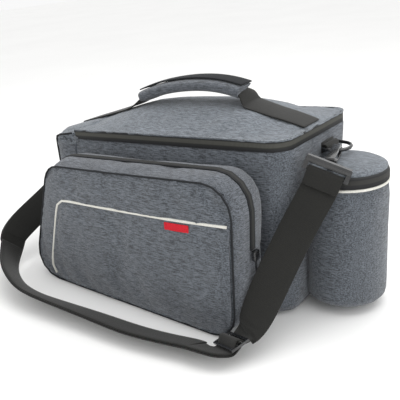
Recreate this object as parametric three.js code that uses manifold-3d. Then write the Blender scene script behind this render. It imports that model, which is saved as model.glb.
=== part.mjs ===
// Bicycle trunk bag: padded cloth body, crowned lid, side pocket, bottle pocket, handle and shoulder strap.
// Millimetres. X runs from the nose to the tail, -Y is the side with the pocket, +Z is up.
// The origin is the middle of the main body's underside.
import * as THREE from 'three';
import { mergeVertices } from 'three/addons/utils/BufferGeometryUtils.js';
import Module from 'manifold-3d';

// Main body
const BODY_LENGTH = 376;
const BODY_WIDTH = 154;
const TAIL_HEIGHT = 200;
const NOSE_FALL = 22;
const WALL = 3;
const NOSE_CORNER = 40;
const TAIL_CORNER = 22;
const BASE_ROUND = 12;
const SIDE_BULGE = 5;
const NOSE_SHOULDER = 14;
const SEAM_GAP = 0.35;

// Lid and main zip
const LID_CROWN = 33;
const LID_WALL = 3;
const ZIP_BAND = 12;
const ZIP_TAPE = 1.8;
const ZIP_START = 62;
const PIPING = 2.6;

// Side pocket
const POCKET_DEPTH = 59;
const POCKET_DROP = 20;
const POCKET_TAIL_SETBACK = 21.5;
const POCKET_NOSE_SETBACK = 17.5;
const POCKET_LEAN = 63;
const POCKET_FLARE = 6;
const POCKET_FLOOR = 1;
const POCKET_CORNER = 32;
const POCKET_WALL = 2.4;
const POCKET_SWELL = 4;
const PANEL_PUFF = 5;
const SLIP_HEIGHT = 120;
const SLIP_RISE = 14;
const SLIP_INSET = 36;
const SLIP_MARGIN = 3;
const SLIP_CORNER = 20;
const SLIP_CLOTH = 1.5;
const SLIP_LIFT = 1;
const REFLECTIVE_PIPING = 3.2;
const POCKET_ZIP = 8;
const POCKET_ZIP_FROM_PANEL = 27;
const POCKET_ZIP_END = 100;
const TAB_LENGTH = 32;
const TAB_DROP = 8.5;
const TAB_FROM_NOSE = 272;
const PULL_CORD = 2.2;
const PULL_LENGTH = 40;
const PULL_GRIP = 16;

// Bottle pocket
const BOTTLE_RADIUS = 46;
const BOTTLE_STANDOFF = 30.6;
const BOTTLE_DROP = 52.5;
const BOTTLE_FLOOR = 8;
const BOTTLE_WALL = 2.6;
const BOTTLE_BAND = 12;
const BOTTLE_DOME = 5;
const BOTTLE_PIPING = 3.3;
const BOTTLE_STEPS = 28;

// Top handle
const HANDLE_WIDTH = 35;
const HANDLE_OFFSET = -10;
const HANDLE_NOSE_MARGIN = 24;
const HANDLE_TAIL_MARGIN = 4;
const LEG_REACH = 20;
const GRIP_LENGTH = 152;
const GRIP_FROM_NOSE = 137;
const GRIP_FOOT = 24;
const GRIP_RISE = 20.5;
const GRIP_HEIGHT = 15;
const GRIP_WIDTH = 37;
const GRIP_CLOTH = 2;
const GRIP_SLIT = 65;
const FLAP_CLOTH = 2;

// Shoulder strap and its hardware
const STRAP_WIDTH = 38;
const WEBBING = 1.8;
const BUCKLE_BAR = 3;
const BUCKLE_SLOT = 6.6;
const BUCKLE_THICK = 2.6;
const BUCKLE_END = 3;
const BUCKLE_TURN = -26;
const BUCKLE_PITCH = 15;
const BUCKLE_ROLL = 19;
const BUCKLE_PLACE = 0.908;
const BUCKLE_OUT = 1.405;
const FOLD_LENGTH = 17;
const RING_WIDTH = 38;
const RING_DEPTH = 28;
const RING_WIRE = 4;
const RING_ASIDE = 15;
const RING_LIFT = 6.7;
const NOSE_RING_SHARE = 0.7;
const NOSE_HANG = 0.35;
const TAIL_CATCH = 30;
const NOSE_CATCH = 40;
const HOOK_CATCH = 50;
const HOOK_LENGTH = 54;
const HOOK_BAR = 9;
const HOOK_GAUGE = 12;
const HOOK_LIMB = 3;
const HOOK_WIDE = 9;
const HOOK_ARM = 4.5;
const LOOP_REACH = 10;
const LOOP_ROD = 4;
const TAB_CLOTH = 2;
const TAB_WIDTH = 28;
const TAB_HEIGHT = 12;

const halfLength = BODY_LENGTH / 2;
const halfWidth = BODY_WIDTH / 2;
const V = (x, y, z) => new THREE.Vector3(x, y, z);

// Materials
const cloth = (color) => new THREE.MeshStandardMaterial({ color, roughness: 0.95, metalness: 0 });
const plastic = (color) => new THREE.MeshStandardMaterial({ color, roughness: 0.35, metalness: 0 });
const HEATHER = 0x6f7680;
const HEATHER_LID = 0x8b929b;
const OLIVE_WEB = 0x3f3f3a;
const TAPE = 0x4a4942;
const PALE = 0xdcdcd6;
const RED = 0xd5202c;
const DARK = 0x26272a;

const bag = new THREE.Group();

function piece(name, geometry, material) {
  const mesh = new THREE.Mesh(geometry, material);
  mesh.name = name;
  bag.add(mesh);
  return mesh;
}

// Value of a column at u, on a smooth curve through the rows of a table whose "at" column rises
function column(rows, key, u) {
  const last = rows.length - 1;
  let i = 0;
  while (i < last - 1 && u > rows[i + 1].at) i += 1;
  const slope = (k) => {
    const [l, r] = [rows[Math.max(k - 1, 0)], rows[Math.min(k + 1, last)]];
    return (r[key] - l[key]) / (r.at - l.at);
  };
  const span = rows[i + 1].at - rows[i].at;
  const t = THREE.MathUtils.clamp((u - rows[i].at) / span, 0, 1);
  const [a, b] = [rows[i][key], rows[i + 1][key]];
  const [p, q] = [slope(i) * span, slope(i + 1) * span];
  return a + t * (p + t * (3 * (b - a) - 2 * p - q + t * (2 * (a - b) + p + q)));
}

// The same on straight lines between the rows
function between(rows, at, key, u) {
  let i = 0;
  while (i < rows.length - 2 && u > rows[i + 1][at]) i += 1;
  const t = THREE.MathUtils.clamp((u - rows[i][at]) / (rows[i + 1][at] - rows[i][at]), 0, 1);
  return THREE.MathUtils.lerp(rows[i][key], rows[i + 1][key], t);
}

// Closed body from rings of equal count. A Vector3 in place of a ring is a pole; "closed" joins the last ring
// to the first; "strips" closes the first and last ring across the lid's length; "flat" cuts the second half
// of each ring on the same diagonals as the first, so that sheets laid on each other stay parallel.
function skin(rings, { closed = false, strips = false, flat = false } = {}) {
  const vertices = [];
  const starts = rings.map((ring) => {
    const start = vertices.length / 3;
    (Array.isArray(ring) ? ring : [ring]).forEach((p) => vertices.push(p.x, p.y, p.z));
    return start;
  });
  const faces = [];
  const bands = closed ? rings.length : rings.length - 1;
  for (let k = 0; k < bands; k += 1) {
    const m = (k + 1) % rings.length;
    const n = Array.isArray(rings[k]) ? rings[k].length : rings[m].length;
    for (let i = 0; i < n; i += 1) {
      const j = (i + 1) % n;
      const [a, b, c, d] = [starts[k] + i, starts[k] + j, starts[m] + j, starts[m] + i];
      if (!Array.isArray(rings[k])) faces.push(starts[k], c, d);
      else if (!Array.isArray(rings[m])) faces.push(a, b, starts[m]);
      else if (flat && i >= n / 2) faces.push(a, b, d, b, c, d);
      else faces.push(a, b, c, a, c, d);
    }
  }
  if (strips) {
    faces.push(...acrossStrip(starts[0], rings[0].length, true));
    faces.push(...acrossStrip(starts[rings.length - 1], rings[0].length, false));
  }
  const geometry = new THREE.BufferGeometry();
  geometry.setAttribute('position', new THREE.Float32BufferAttribute(vertices, 3));
  geometry.setIndex(faces);
  return facingOut(geometry);
}

// Faces that close a ring of the body outline, between its near points and their mirror points
function acrossStrip(start, n, first) {
  const noseStops = END_STOPS - 1;
  const mirror = (i) => (2 * n - noseStops - 1 - i) % n;
  const from = n - (noseStops + 1) / 2;
  const faces = [];
  const put = (a, b, c) => {
    if (a !== b && b !== c && a !== c) faces.push(...(first ? [a, c, b] : [a, b, c]).map((k) => start + k));
  };
  for (let k = 0; k < n / 2; k += 1) {
    const [a, b] = [(from + k) % n, (from + k + 1) % n];
    put(a, b, mirror(b));
    put(a, mirror(b), mirror(a));
  }
  return faces;
}

function facingOut(geometry) {
  const p = geometry.attributes.position;
  const index = Array.from(geometry.index.array);
  let volume = 0;
  for (let i = 0; i < index.length; i += 3) {
    const [a, b, c] = [0, 1, 2].map((k) => new THREE.Vector3().fromBufferAttribute(p, index[i + k]));
    volume += a.dot(b.cross(c));
  }
  if (volume < 0) {
    for (let i = 0; i < index.length; i += 3) [index[i + 1], index[i + 2]] = [index[i + 2], index[i + 1]];
    geometry.setIndex(index);
  }
  geometry.computeVertexNormals();
  return geometry;
}

function middle(ring) {
  return ring.reduce((sum, p) => sum.add(p), V(0, 0, 0)).divideScalar(ring.length);
}

// Prism-like bar swept through sections of equal count, with flat ends
function bar(sections, options) {
  return skin([middle(sections[0]), ...sections, middle(sections[sections.length - 1])], options);
}

// Ring of points round a centre
function circle(centre, radius, u, v, sides) {
  return Array.from({ length: sides }, (_, i) => {
    const a = (i * 2 * Math.PI) / sides;
    return centre.clone().addScaledVector(u, radius * Math.cos(a)).addScaledVector(v, radius * Math.sin(a));
  });
}

// Grid of points moved across its own surface
function shifted(rows, distance) {
  const last = rows.length - 1;
  return rows.map((row, i) => row.map((p, j) => {
    const along = rows[Math.min(i + 1, last)][j].clone().sub(rows[Math.max(i - 1, 0)][j]);
    const across = row[Math.min(j + 1, row.length - 1)].clone().sub(row[Math.max(j - 1, 0)]);
    return p.clone().addScaledVector(along.cross(across).normalize(), distance);
  }));
}

// Webbing or cloth of even thickness whose middle surface is a grid of points, rows along and points across
function ribbon(rows, thickness) {
  const [over, under] = [shifted(rows, thickness / 2), shifted(rows, -thickness / 2)];
  return bar(rows.map((_, i) => [...over[i], ...under[i].reverse()]), { flat: true });
}

// Round cord of the given diameter along a curve
function cordAlong(points, diameter, steps, sides = 8) {
  const round = new THREE.Shape();
  for (let i = 0; i < sides; i += 1) {
    const a = (i * 2 * Math.PI) / sides;
    const [x, y] = [(Math.cos(a) * diameter) / 2, (Math.sin(a) * diameter) / 2];
    if (i === 0) round.moveTo(x, y);
    else round.lineTo(x, y);
  }
  round.closePath();
  const extrudePath = new THREE.CatmullRomCurve3(points, false, 'centripetal');
  return new THREE.ExtrudeGeometry(round, { steps, extrudePath, bevelEnabled: false });
}

// Booleans for the hard pieces
const wasm = await Module();
wasm.setup();

function solid(geometry) {
  const bare = geometry.clone();
  bare.deleteAttribute('normal');
  bare.deleteAttribute('uv');
  const merged = mergeVertices(bare, 1e-4);
  return new wasm.Manifold(new wasm.Mesh({
    numProp: 3,
    vertProperties: new Float32Array(merged.attributes.position.array),
    triVerts: new Uint32Array(merged.index.array),
  }));
}

function fromSolid(manifold) {
  const mesh = manifold.getMesh();
  const geometry = new THREE.BufferGeometry();
  geometry.setAttribute('position', new THREE.BufferAttribute(new Float32Array(mesh.vertProperties), 3));
  geometry.setIndex(Array.from(mesh.triVerts));
  geometry.computeVertexNormals();
  return geometry;
}

// Zip line: the middle of the main zip, level across, falling towards the nose
function zipLine(x) {
  return TAIL_HEIGHT - (NOSE_FALL * (halfLength - x)) / BODY_LENGTH;
}

const zipStart = ZIP_START - halfLength;

// Points round a rounded rectangle, with the side stops shared by every level so that zip ends line up
const CORNER_STEPS = 5;
const SIDE_STOPS = 8;
const END_STOPS = 4;

function bodyOutline({ inset = 0, noseBack = 0, noseCorner = NOSE_CORNER, bulge = 0 }) {
  const xn = -halfLength + inset + noseBack;
  const xt = halfLength - inset;
  const y = halfWidth - inset;
  const rn = noseCorner - inset * 0.5;
  const rt = TAIL_CORNER - inset * 0.5;
  const points = [];
  const put = (px, py) => points.push({ x: px, y: py });
  const arc = (cx, cy, r, from) => {
    for (let i = 0; i <= CORNER_STEPS; i += 1) {
      const a = from + (i / CORNER_STEPS) * (Math.PI / 2);
      put(cx + r * Math.cos(a), cy + r * Math.sin(a));
    }
  };
  const bow = (x) => bulge * (1 - ((x - (xn + xt) / 2) / ((xt - xn) / 2)) ** 2);
  const side = (towardTail) => {
    const stops = [zipStart - SEAM_GAP, zipStart];
    for (let i = 1; i < SIDE_STOPS; i += 1) {
      stops.push(THREE.MathUtils.lerp(zipStart, xt - rt, i / SIDE_STOPS));
    }
    if (!towardTail) stops.reverse();
    stops.forEach((x) => put(x, (towardTail ? -1 : 1) * (y + bow(x))));
  };
  arc(xn + rn, -y + rn, rn, Math.PI);
  side(true);
  arc(xt - rt, -y + rt, rt, -Math.PI / 2);
  for (let i = 1; i < END_STOPS; i += 1) put(xt, THREE.MathUtils.lerp(-y + rt, y - rt, i / END_STOPS));
  arc(xt - rt, y - rt, rt, 0);
  side(false);
  arc(xn + rn, y - rn, rn, Math.PI / 2);
  for (let i = 1; i < END_STOPS; i += 1) put(xn, THREE.MathUtils.lerp(y - rn, -y + rn, i / END_STOPS));
  return points;
}

const inZip = (p) => p.x > zipStart - SEAM_GAP / 2;

// Height of the seam under the lid and of the seam over the body, at an outline point
function bodyRim(p) {
  return zipLine(p.x) - (inZip(p) ? ZIP_BAND / 2 + SEAM_GAP : NOSE_SHOULDER);
}

function lidRim(p) {
  return zipLine(p.x) + (inZip(p) ? ZIP_BAND / 2 + SEAM_GAP : SEAM_GAP - NOSE_SHOULDER);
}

// Body wall levels: height as a share of the rim, inset as a share of the base round
const BODY_LEVELS = [
  { up: 0, inset: 1, bulge: 0 },
  { up: 0.018, inset: 0.3, bulge: 0.1 },
  { up: 0.06, inset: 0, bulge: 0.2 },
  { up: 0.28, inset: 0, bulge: 0.8 },
  { up: 0.52, inset: 0, bulge: 1 },
  { up: 0.78, inset: 0, bulge: 0.65 },
  { up: 1, inset: 0, bulge: 0 },
];

function bodyRing(level, inward, floor) {
  const outline = bodyOutline({ inset: level.inset * BASE_ROUND + inward, bulge: level.bulge * SIDE_BULGE });
  return outline.map((p) => V(p.x, p.y, floor + level.up * (bodyRim(p) - floor)));
}

function buildBody() {
  const outside = BODY_LEVELS.map((level) => bodyRing(level, 0, 0));
  const inside = BODY_LEVELS.slice().reverse().map((level) => bodyRing(level, WALL, WALL));
  inside[0].forEach((p, i) => { p.z = outside[outside.length - 1][i].z; });
  piece('body_shell', skin([V(0, 0, 0), ...outside, ...inside, V(0, 0, WALL)]), cloth(HEATHER));
}

// Lid crown along the length, as a share of the crown height
const LID_PROFILE = [
  { at: -1, crown: -0.16 },
  { at: -0.85, crown: 0.08 },
  { at: -0.69, crown: 0.28 },
  { at: -0.45, crown: 0.61 },
  { at: -0.29, crown: 0.82 },
  { at: -0.09, crown: 0.94 },
  { at: 0.21, crown: 0.97 },
  { at: 0.46, crown: 0.96 },
  { at: 0.61, crown: 0.87 },
  { at: 0.7, crown: 0.68 },
  { at: 0.86, crown: 0.44 },
  { at: 1, crown: 0.17 },
];

// How the edge of the lid rises from its seam: share of the way in, share of the rise
const LID_LOOPS = [
  { way: 0, rise: 0 },
  { way: 0.04, rise: 0.6 },
  { way: 0.1, rise: 0.9 },
  { way: 0.22, rise: 1 },
  { way: 0.42, rise: 1 },
  { way: 0.64, rise: 1 },
  { way: 0.86, rise: 1 },
];
const LID_FULLNESS = 2;
const LID_EDGE = 3;
const EDGE_SHARE = 0.15;

function lidSurface(x, y, edge = LID_EDGE) {
  const across = 1 - Math.min(1, Math.abs(y) / halfWidth) ** LID_FULLNESS;
  const crown = LID_CROWN * column(LID_PROFILE, 'crown', x / halfLength);
  return zipLine(x) + edge + (crown - edge) * across;
}

// Spine point that each outline point of the lid moves towards
function spine(p) {
  const reach = halfLength - halfWidth * 0.6;
  return { x: THREE.MathUtils.clamp(p.x * 0.86, -reach, reach), y: 0 };
}

function lidRing(loop, inward) {
  return bodyOutline({ inset: inward }).map((p) => {
    const s = spine(p);
    const x = THREE.MathUtils.lerp(p.x, s.x, loop.way);
    const y = THREE.MathUtils.lerp(p.y, s.y, loop.way);
    const rim = lidRim(p);
    const edge = THREE.MathUtils.lerp(rim - zipLine(p.x), LID_EDGE, Math.min(1, loop.way / EDGE_SHARE));
    const under = inward * Math.min(1, loop.way / LID_LOOPS[2].way);
    return V(x, y, THREE.MathUtils.lerp(rim, lidSurface(x, y, edge), loop.rise) - under);
  });
}

function buildLid() {
  const outside = LID_LOOPS.map((loop) => lidRing(loop, 0)).reverse();
  const inside = LID_LOOPS.map((loop) => lidRing(loop, LID_WALL));
  piece('lid_panel', skin([...outside, ...inside], { strips: true }), cloth(HEATHER_LID));
}

// Main zip: a band between the body's rim and the lid's, from the near side round the tail to the far side
function buildMainZip() {
  const near = bodyOutline({ inset: SEAM_GAP }).filter(inZip);
  const deep = bodyOutline({ inset: SEAM_GAP + ZIP_TAPE }).filter(inZip);
  const half = ZIP_BAND / 2;
  const sections = near.map((p, i) => {
    const q = deep[i];
    const x = i === 0 || i === near.length - 1 ? p.x + SEAM_GAP : p.x;
    const xq = i === 0 || i === near.length - 1 ? q.x + SEAM_GAP : q.x;
    return [V(x, p.y, zipLine(x) - half), V(x, p.y, zipLine(x) + half),
      V(xq, q.y, zipLine(x) + half), V(xq, q.y, zipLine(x) - half)];
  });
  piece('main_zip', bar(sections), cloth(TAPE));
}

// Corded seam on a nose corner: up the corner, over the shoulder and along to the end of the zip
const NOSE_PIPING_ROUTE = [
  { turn: 52, height: 0.1, beyond: 0 },
  { turn: 52, height: 0.5, beyond: 0 },
  { turn: 52, height: 0.88, beyond: 0 },
  { turn: 56, height: 0.94, beyond: 0 },
  { turn: 68, height: 0.98, beyond: 0 },
  { turn: 90, height: 1, beyond: 0.1 },
  { turn: 90, height: 1.01, beyond: 0.8 },
];

function buildNosePiping(name, side) {
  const off = PIPING / 2 + SEAM_GAP;
  const centre = NOSE_CORNER - halfLength;
  const points = NOSE_PIPING_ROUTE.map((row) => {
    const a = THREE.MathUtils.degToRad(row.turn);
    const r = NOSE_CORNER + off;
    const x = centre - r * Math.cos(a) + row.beyond * (zipStart - centre);
    const y = halfWidth - NOSE_CORNER + r * Math.sin(a);
    return V(x, side * y, row.height * zipLine(x));
  });
  piece(name, cordAlong(points, PIPING, 22, 6), cloth(DARK));
}

// Side pocket outline in the XZ plane
const pocketFront = -(halfWidth + SIDE_BULGE + POCKET_DEPTH);

function pocketCorners(grow) {
  const left = POCKET_NOSE_SETBACK - halfLength - grow;
  const right = halfLength - POCKET_TAIL_SETBACK + grow;
  const top = (x) => zipLine(x) - POCKET_DROP + grow;
  return [
    { x: left, z: POCKET_FLOOR },
    { x: right - POCKET_FLARE, z: POCKET_FLOOR },
    { x: right, z: top(right) },
    { x: left + POCKET_LEAN, z: top(left + POCKET_LEAN) },
  ];
}

// Rounded polygon: each corner an arc of fixed steps, each edge cut into fixed steps
const ARC_STEPS = 4;
const EDGE_STEPS = 4;

function rounded(corners, radii, cornerSteps = ARC_STEPS, edgeSteps = EDGE_STEPS) {
  const n = corners.length;
  const flat = corners.map((c) => new THREE.Vector2(c.x, c.z));
  const arcs = flat.map((c, i) => {
    const toPrev = flat[(i + n - 1) % n].clone().sub(c).normalize();
    const toNext = flat[(i + 1) % n].clone().sub(c).normalize();
    const half = Math.acos(THREE.MathUtils.clamp(toPrev.dot(toNext), -1, 1)) / 2;
    const bisector = toPrev.clone().add(toNext).normalize();
    const centre = c.clone().addScaledVector(bisector, radii[i] / Math.sin(half));
    const from = c.clone().addScaledVector(toPrev, radii[i] / Math.tan(half)).sub(centre).angle();
    const turn = Math.PI - 2 * half;
    return Array.from({ length: cornerSteps + 1 }, (_, k) => {
      const a = from + (k / cornerSteps) * turn;
      return new THREE.Vector2(centre.x + radii[i] * Math.cos(a), centre.y + radii[i] * Math.sin(a));
    });
  });
  const points = [];
  arcs.forEach((arc, i) => {
    points.push(...arc);
    const next = arcs[(i + 1) % n][0];
    for (let k = 1; k < edgeSteps; k += 1) points.push(arc[cornerSteps].clone().lerp(next, k / edgeSteps));
  });
  return points.map((p) => ({ x: p.x, z: p.y }));
}

function pocketOutline(grow) {
  const radius = POCKET_CORNER + grow;
  return rounded(pocketCorners(grow), [radius, radius, radius, radius])
    .map((p) => ({ x: p.x, z: Math.max(p.z, POCKET_FLOOR) }));
}

// Gusset swell through its depth, as a share of the swell
const GUSSET_ROWS = [
  { at: 0, swell: 0 },
  { at: 0.25, swell: 0.8 },
  { at: 0.55, swell: 1 },
  { at: 0.8, swell: 0.2 },
  { at: 1, swell: -2.2 },
];

// The body's near wall, where the gusset meets it
function nearWall(x, z) {
  const up = z / zipLine(x);
  const bulge = SIDE_BULGE * between(BODY_LEVELS, 'up', 'bulge', up);
  return -(halfWidth + bulge * Math.max(0, 1 - (x / halfLength) ** 2));
}

function gussetRing(row, inward) {
  return pocketOutline(row.swell * POCKET_SWELL - inward).map((p) => {
    const back = nearWall(p.x, p.z) - SEAM_GAP;
    return V(p.x, THREE.MathUtils.lerp(pocketFront + SEAM_GAP, back, row.at), p.z + inward * (p.z < 3 ? 1 : 0));
  });
}

function buildGusset() {
  const outside = GUSSET_ROWS.map((row) => gussetRing(row, 0));
  const inside = GUSSET_ROWS.map((row) => gussetRing(row, POCKET_WALL)).reverse();
  piece('pocket_gusset', skin([...outside, ...inside], { closed: true }), cloth(HEATHER));
}

// Front face of the pocket: a panel that puffs between its edges
function puff(x, z) {
  const [a, b, c, d] = pocketCorners(0);
  const v = THREE.MathUtils.clamp((z - a.z) / (c.z - a.z), 0, 1);
  const left = THREE.MathUtils.lerp(a.x, d.x, v);
  const right = THREE.MathUtils.lerp(b.x, c.x, v);
  const u = THREE.MathUtils.clamp((2 * x - left - right) / (right - left), -1, 1);
  return PANEL_PUFF * (1 - u ** 4) * (1 - (2 * v - 1) ** 4);
}

// Cloth of even thickness that lies over the puffed panel inside an outline
const CLOTH_LOOPS = [0, 0.06, 0.15, 0.29, 0.5, 0.75];

function clothOver(outline, lift, thickness, loops = CLOTH_LOOPS) {
  const centre = outline.reduce((c, p) => ({ x: c.x + p.x / outline.length, z: c.z + p.z / outline.length }),
    { x: 0, z: 0 });
  const layer = (up) => (way) => outline.map((p) => {
    const x = THREE.MathUtils.lerp(p.x, centre.x, way);
    const z = THREE.MathUtils.lerp(p.z, centre.z, way);
    return V(x, pocketFront - puff(x, z) - up, z);
  });
  const outside = loops.map(layer(lift + thickness)).reverse();
  const inside = loops.map(layer(lift));
  const pole = (up) => V(centre.x, pocketFront - puff(centre.x, centre.z) - up, centre.z);
  return skin([pole(lift + thickness), ...outside, ...inside, pole(lift)]);
}

function slipCorners(grow) {
  const [a, b, c, d] = pocketCorners(0);
  const nose = (z) => THREE.MathUtils.lerp(a.x, d.x, z / d.z) + SLIP_INSET - grow;
  const tail = b.x - SLIP_MARGIN;
  return [
    { x: nose(0) + SLIP_CORNER * 0.2, z: POCKET_FLOOR + SLIP_MARGIN },
    { x: tail, z: POCKET_FLOOR + SLIP_MARGIN },
    { x: c.x - SLIP_MARGIN, z: SLIP_HEIGHT + SLIP_RISE + grow },
    { x: nose(SLIP_HEIGHT), z: SLIP_HEIGHT + grow },
  ];
}

function slipOutline(grow) {
  return rounded(slipCorners(grow), [SLIP_CORNER, POCKET_CORNER - SLIP_MARGIN, 2, SLIP_CORNER]);
}

function buildPocketFront() {
  piece('pocket_panel', clothOver(pocketOutline(0), 0, POCKET_WALL), cloth(HEATHER));
  const onPanel = POCKET_WALL + SLIP_LIFT;
  piece('slip_pocket', clothOver(slipOutline(0), onPanel, SLIP_CLOTH), cloth(HEATHER));

  const radius = REFLECTIVE_PIPING / 2;
  const round = slipOutline(radius + 2 * SEAM_GAP);
  const topCorner = 3 * (ARC_STEPS + 1) + 2 * (EDGE_STEPS - 1) - 1;
  const route = [...round.slice(topCorner), ...round.slice(0, 3)]
    .map((p) => V(p.x, pocketFront - puff(p.x, p.z) - onPanel - radius, p.z));
  piece('reflective_piping', cordAlong(route, REFLECTIVE_PIPING, 30, 6), plastic(PALE));

  const tabTop = (x) => SLIP_HEIGHT + (SLIP_RISE * (x - slipCorners(0)[3].x))
    / (slipCorners(0)[2].x - slipCorners(0)[3].x) - 1;
  const left = TAB_FROM_NOSE - halfLength;
  const tab = rounded([
    { x: left, z: tabTop(left) - TAB_DROP },
    { x: left + TAB_LENGTH, z: tabTop(left + TAB_LENGTH) - TAB_DROP },
    { x: left + TAB_LENGTH, z: tabTop(left + TAB_LENGTH) },
    { x: left, z: tabTop(left) },
  ], [0.6, 0.6, 0.6, 0.6], 1, 2);
  piece('red_tab', clothOver(tab, onPanel + SLIP_CLOTH + SEAM_GAP, 1, [0]), cloth(RED));
}

// Part of a closed outline above a height, cut exactly there
function above(outline, height) {
  const kept = [];
  outline.forEach((p, i) => {
    const q = outline[(i + 1) % outline.length];
    if (p.z > height) kept.push(p);
    if ((p.z > height) === (q.z > height)) return;
    kept.push({ x: THREE.MathUtils.lerp(p.x, q.x, (height - p.z) / (q.z - p.z)), z: height });
  });
  return kept;
}

// Zip on the gusset, over the top and down both sides
function buildPocketZip() {
  const depth = (y) => (y - pocketFront) / (-halfWidth - SIDE_BULGE - pocketFront);
  const middleY = pocketFront + POCKET_ZIP_FROM_PANEL;
  const edges = [middleY - POCKET_ZIP / 2, middleY + POCKET_ZIP / 2];
  const strip = (y, lift) => {
    const grow = POCKET_SWELL * between(GUSSET_ROWS, 'at', 'swell', depth(y)) + SEAM_GAP + lift;
    return above(pocketOutline(grow), POCKET_ZIP_END).map((p) => V(p.x, y, p.z));
  };
  const corners = [strip(edges[0], 0), strip(edges[1], 0), strip(edges[1], ZIP_TAPE), strip(edges[0], ZIP_TAPE)];
  const sections = corners[0].map((_, i) => corners.map((line) => line[i]));
  piece('pocket_zip', bar(sections), cloth(TAPE));

  const end = corners[2][0];
  const slider = new THREE.BoxGeometry(4.4, POCKET_ZIP + 1, 11);
  slider.translate(end.x + 2.2 + SEAM_GAP, middleY, end.z - 5.5 - SEAM_GAP);
  piece('pocket_zip_slider', slider, plastic(DARK));

  const top = end.z - 11 - 2 * SEAM_GAP;
  const hang = V(end.x + PULL_CORD + SEAM_GAP, middleY, top);
  const round = (radius, down) => circle(hang.clone().setZ(top - down), radius, V(1, 0, 0), V(0, 1, 0), 8);
  piece('pocket_zip_pull', bar([round(PULL_CORD / 2, 0), round(PULL_CORD / 2, PULL_LENGTH - PULL_GRIP),
    round(PULL_CORD * 0.85, PULL_LENGTH - PULL_GRIP * 0.88), round(PULL_CORD, PULL_LENGTH)]), plastic(DARK));
}

// Bottle pocket: a round cup with a flat back on the tail wall
const bottleX = halfLength + BOTTLE_STANDOFF;
const bottleHeight = TAIL_HEIGHT - BOTTLE_DROP;

function bottleOutline(inset, back = 0) {
  const r = BOTTLE_RADIUS - inset;
  const flat = halfLength + SEAM_GAP + back;
  const turn = Math.acos(THREE.MathUtils.clamp((flat - bottleX) / r, -1, 1));
  const points = [];
  for (let i = 0; i <= BOTTLE_STEPS; i += 1) {
    const a = THREE.MathUtils.lerp(-turn, turn, i / BOTTLE_STEPS);
    points.push({ x: bottleX + r * Math.cos(a), y: r * Math.sin(a) });
  }
  for (let i = 1; i < 4; i += 1) points.push({ x: flat, y: r * Math.sin(turn) * (1 - i / 2) });
  return points;
}

const level = (outline, z) => outline.map((p) => V(p.x, p.y, z));

const BOTTLE_LEVELS = [
  { up: 0, inset: 10 },
  { up: 0.02, inset: 4 },
  { up: 0.07, inset: 0.4 },
  { up: 0.5, inset: 0 },
  { up: 1, inset: 0 },
];

function buildBottlePocket() {
  const height = bottleHeight - BOTTLE_FLOOR;
  const outside = BOTTLE_LEVELS.map((row) => level(bottleOutline(row.inset), BOTTLE_FLOOR + row.up * height));
  const inside = BOTTLE_LEVELS.slice().reverse().map((row) => level(
    bottleOutline(row.inset + BOTTLE_WALL, BOTTLE_WALL),
    BOTTLE_FLOOR + BOTTLE_WALL + row.up * (height - BOTTLE_WALL),
  ));
  piece('bottle_pocket', skin([V(bottleX, 0, BOTTLE_FLOOR), ...outside, ...inside,
    V(bottleX, 0, BOTTLE_FLOOR + BOTTLE_WALL)]), cloth(HEATHER));

  const pipe = BOTTLE_PIPING / 2;
  const pipeZ = bottleHeight + SEAM_GAP + pipe;
  const ring = bottleOutline(pipe * 0.4).slice(1, BOTTLE_STEPS);
  piece('bottle_piping', cordAlong(ring.map((p) => V(p.x, p.y, pipeZ)), BOTTLE_PIPING, 28, 6), plastic(PALE));

  const bandFoot = pipeZ + pipe + SEAM_GAP;
  const band = [{ up: 0, inset: 0 }, { up: 0.62, inset: 0 }, { up: 1, inset: 2 }];
  const bandRing = (row, wall) => level(bottleOutline(row.inset + wall, wall), bandFoot + row.up * BOTTLE_BAND);
  piece('bottle_zip', skin([...band.map((row) => bandRing(row, 0)),
    ...band.slice().reverse().map((row) => bandRing(row, ZIP_TAPE))], { closed: true }), cloth(TAPE));

  const lidFoot = bandFoot + BOTTLE_BAND + SEAM_GAP;
  const dome = [0.12, 0.34, 0.65];
  const rim = bottleOutline(2);
  const loop = (way, z) => rim.map((p) => V(THREE.MathUtils.lerp(p.x, bottleX, way), p.y * (1 - way), z));
  const rise = (way) => BOTTLE_DOME * (1 - (1 - way) ** 2.4);
  const lid = [V(bottleX, 0, lidFoot + BOTTLE_WALL + BOTTLE_DOME)];
  dome.slice().reverse().forEach((way) => lid.push(loop(way, lidFoot + BOTTLE_WALL + rise(way))));
  lid.push(loop(0, lidFoot + BOTTLE_WALL * 0.5), loop(0, lidFoot));
  dome.forEach((way) => lid.push(loop(way, lidFoot + rise(way))));
  lid.push(V(bottleX, 0, lidFoot + BOTTLE_DOME));
  piece('bottle_lid', skin(lid), cloth(HEATHER_LID));
  return lidFoot + BOTTLE_WALL + BOTTLE_DOME;
}

// Grip line above the lid, from its nose end to its tail end, as shares of the grip length and of the rise
const GRIP_LINE = [
  { at: 0, up: 0.02 },
  { at: 0.2, up: 0.52 },
  { at: 0.46, up: 0.88 },
  { at: 0.7, up: 1 },
  { at: 0.88, up: 0.9 },
  { at: 1, up: 0.72 },
];

const gripStart = GRIP_FROM_NOSE - halfLength;
const gripX = (share) => gripStart + share * GRIP_LENGTH;
const gripZ = (share) => TAIL_HEIGHT + GRIP_FOOT + GRIP_RISE * column(GRIP_LINE, 'up', share);

function gripPoint(share) {
  return V(gripX(share), HANDLE_OFFSET, gripZ(share));
}

function gripUp(share) {
  const along = gripPoint(Math.min(share + 0.02, 1)).sub(gripPoint(Math.max(share - 0.02, 0)));
  return V(-along.z, 0, along.x).normalize();
}

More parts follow.
